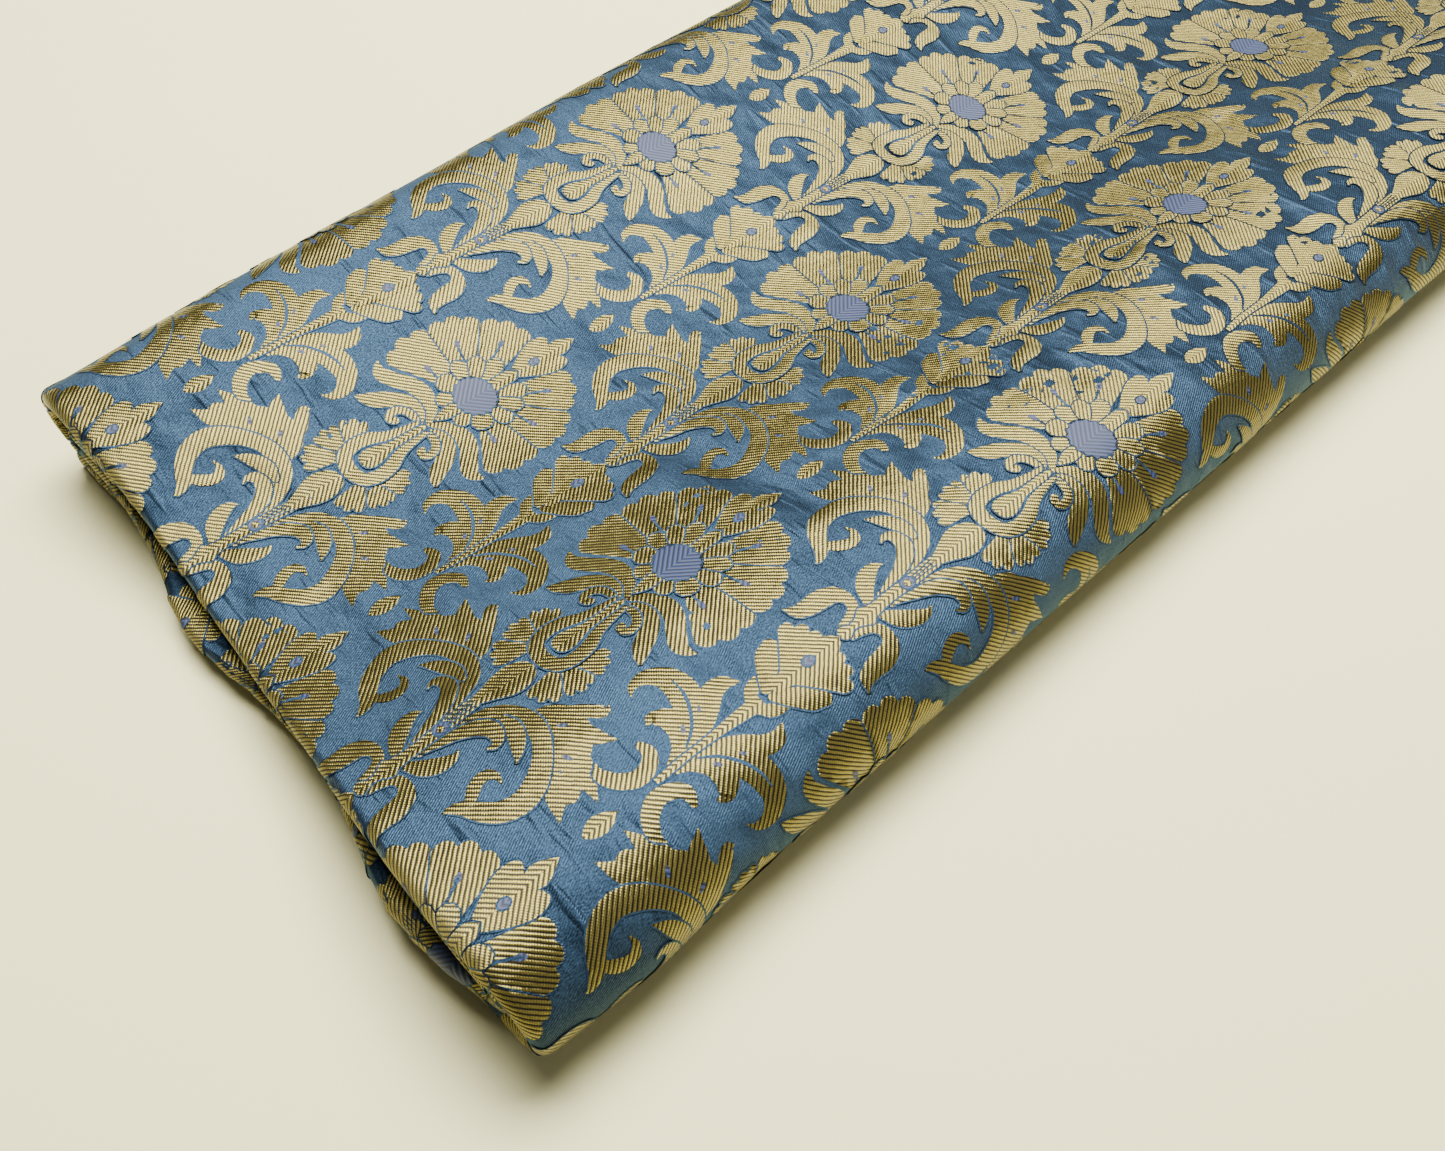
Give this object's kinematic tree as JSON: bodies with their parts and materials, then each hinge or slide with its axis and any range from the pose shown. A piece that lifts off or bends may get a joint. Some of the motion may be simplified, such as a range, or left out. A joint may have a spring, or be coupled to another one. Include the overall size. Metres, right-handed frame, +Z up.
{
  "type": "folded brocade panel",
  "caption": "Length of woven floral brocade folded flat into a soft stack with rounded long edges and a closed left end.",
  "frame": {"origin": "centre of the folded cloth's footprint, on the surface that it lies on", "axes": "+X along the cloth's length from its closed fold, -Y towards the full near roll, +Z up"},
  "size_m": [0.6114, 0.3192, 0.0423],
  "materials": {
    "brocade": "slate blue satin ground with woven gold flowers and leaves"
  },
  "bodies": {
    "root": {"folded_brocade": "brocade"}
  },
  "joints": []
}
